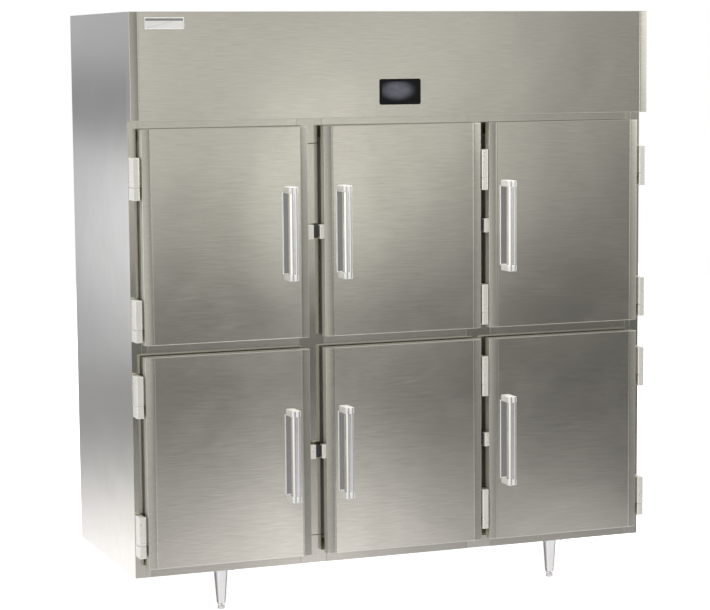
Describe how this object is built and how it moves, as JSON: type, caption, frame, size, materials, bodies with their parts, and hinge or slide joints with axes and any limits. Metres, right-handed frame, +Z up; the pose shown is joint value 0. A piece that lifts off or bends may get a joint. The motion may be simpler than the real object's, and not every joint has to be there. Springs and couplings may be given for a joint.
{
  "type": "proofing cabinet",
  "caption": "Stainless reach-in proofing cabinet on legs, with half-height hinged doors, pull handles, tray slides and a blower behind the header.",
  "frame": {"origin": "on the floor under the centre of the whole cabinet's bounding box", "axes": "+Z up, the doors face -Y, +X to the right as seen from the front"},
  "size_m": [1.954, 0.882, 2.1],
  "materials": {
    "front_sheet": "satin stainless sheet with a horizontal brushed grain",
    "side_sheet": "satin stainless sheet with a vertical grain",
    "frame_sheet": "brighter satin stainless with a fine grain along each piece",
    "inner_sheet": "bright satin stainless lining",
    "rear_sheet": "galvanised steel sheet",
    "polished": "polished bright metal",
    "leg_metal": "fine satin metal",
    "plate": "brushed blank plate",
    "display_trim": "gloss black",
    "display_glass": "dark gloss window",
    "black_plastic": "matte black",
    "breaker": "grey thermal-break plastic",
    "gasket": "dark grey soft seal",
    "foam": "rigid foam",
    "motor_paint": "satin dark paint",
    "heater_sheath": "heat-darkened tube",
    "wheel_metal": "bare pressed aluminium"
  },
  "bodies": {
    "cabinet": {"side_panel_left": "side_sheet", "side_panel_right": "side_sheet", "back_panel": "rear_sheet", "top_panel": "side_sheet", "base_panel": "rear_sheet", "stiles": "frame_sheet", "mullions": "frame_sheet", "top_rails": "frame_sheet", "middle_rails": "frame_sheet", "bottom_rails": "frame_sheet", "breaker_strips": "breaker", "header_cover": "front_sheet", "display_bezel": "display_trim", "display_screen": "display_glass", "nameplate": "plate", "insulation": "foam", "liner_panels": "inner_sheet", "slide_uprights": "inner_sheet", "tray_slides": "inner_sheet", "legs": "leg_metal", "bullet_feet": "polished", "hinge_bases": "polished", "latch_keepers": "black_plastic", "blower_housing": "rear_sheet", "blower_motor": "motor_paint", "heater_element": "heater_sheath", "humidity_tank": "inner_sheet", "control_box": "rear_sheet", "supply_gland": "black_plastic"},
    "blower_wheel": {"blower_wheel": "wheel_metal"},
    "upper_left_door": {"upper_left_door_pan": "front_sheet", "upper_left_door_liner": "inner_sheet", "upper_left_door_gasket": "gasket", "upper_left_door_handle": "polished", "upper_left_door_hinges": "polished"},
    "upper_center_door": {"upper_center_door_pan": "front_sheet", "upper_center_door_liner": "inner_sheet", "upper_center_door_gasket": "gasket", "upper_center_door_handle": "polished", "upper_center_door_hinges": "polished"},
    "upper_right_door": {"upper_right_door_pan": "front_sheet", "upper_right_door_liner": "inner_sheet", "upper_right_door_gasket": "gasket", "upper_right_door_handle": "polished", "upper_right_door_hinges": "polished"},
    "lower_left_door": {"lower_left_door_pan": "front_sheet", "lower_left_door_liner": "inner_sheet", "lower_left_door_gasket": "gasket", "lower_left_door_handle": "polished", "lower_left_door_hinges": "polished"},
    "lower_center_door": {"lower_center_door_pan": "front_sheet", "lower_center_door_liner": "inner_sheet", "lower_center_door_gasket": "gasket", "lower_center_door_handle": "polished", "lower_center_door_hinges": "polished"},
    "lower_right_door": {"lower_right_door_pan": "front_sheet", "lower_right_door_liner": "inner_sheet", "lower_right_door_gasket": "gasket", "lower_right_door_handle": "polished", "lower_right_door_hinges": "polished"}
  },
  "joints": [
    {"name": "upper_left_door_hinge", "type": "hinge", "parent": "cabinet", "child": "upper_left_door", "pos_m": [-0.9615, -0.36, 1.337], "axis": [0, 0, -1], "range_deg": [0, 115]},
    {"name": "upper_center_door_hinge", "type": "hinge", "parent": "cabinet", "child": "upper_center_door", "pos_m": [0.3294, -0.36, 1.337], "axis": [0, 0, 1], "range_deg": [0, 115]},
    {"name": "upper_right_door_hinge", "type": "hinge", "parent": "cabinet", "child": "upper_right_door", "pos_m": [0.9615, -0.36, 1.337], "axis": [0, 0, 1], "range_deg": [0, 115]},
    {"name": "lower_left_door_hinge", "type": "hinge", "parent": "cabinet", "child": "lower_left_door", "pos_m": [-0.9615, -0.36, 0.559], "axis": [0, 0, -1], "range_deg": [0, 115]},
    {"name": "lower_center_door_hinge", "type": "hinge", "parent": "cabinet", "child": "lower_center_door", "pos_m": [0.3294, -0.36, 0.559], "axis": [0, 0, 1], "range_deg": [0, 115]},
    {"name": "lower_right_door_hinge", "type": "hinge", "parent": "cabinet", "child": "lower_right_door", "pos_m": [0.9615, -0.36, 0.559], "axis": [0, 0, 1], "range_deg": [0, 115]},
    {"name": "blower_spin", "type": "hinge", "parent": "cabinet", "child": "blower_wheel", "pos_m": [0, 0.195, 1.83], "axis": [0, 0, 1], "continuous": true}
  ]
}
